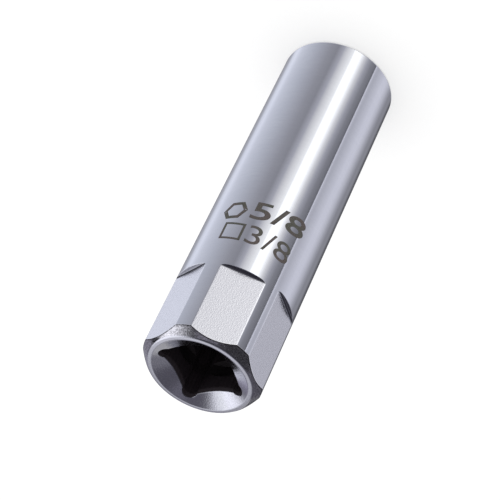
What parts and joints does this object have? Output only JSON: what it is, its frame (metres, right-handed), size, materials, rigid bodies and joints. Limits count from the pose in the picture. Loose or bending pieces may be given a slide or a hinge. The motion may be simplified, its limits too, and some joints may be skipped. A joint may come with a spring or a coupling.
{
  "type": "spark plug socket",
  "caption": "Round-bodied spark plug socket with milled spanner flats, a dished square drive entry and a magnet ring behind the plug hexagon.",
  "frame": {"origin": "centre of the nose face that the socket stands on", "axes": "+Z along the turning axis from the nose to the drive end, -Y out of one milled flat"},
  "size_m": [0.02, 0.02, 0.07],
  "materials": {
    "socket_body": "satin nickel-chrome plate on chrome vanadium steel, flats bead blasted",
    "magnet_ring": "nickel-plated sintered magnet",
    "snap_ring": "oiled spring steel"
  },
  "bodies": {
    "root": {"socket_body": "socket_body", "magnet_ring": "magnet_ring", "snap_ring": "snap_ring"}
  },
  "joints": []
}
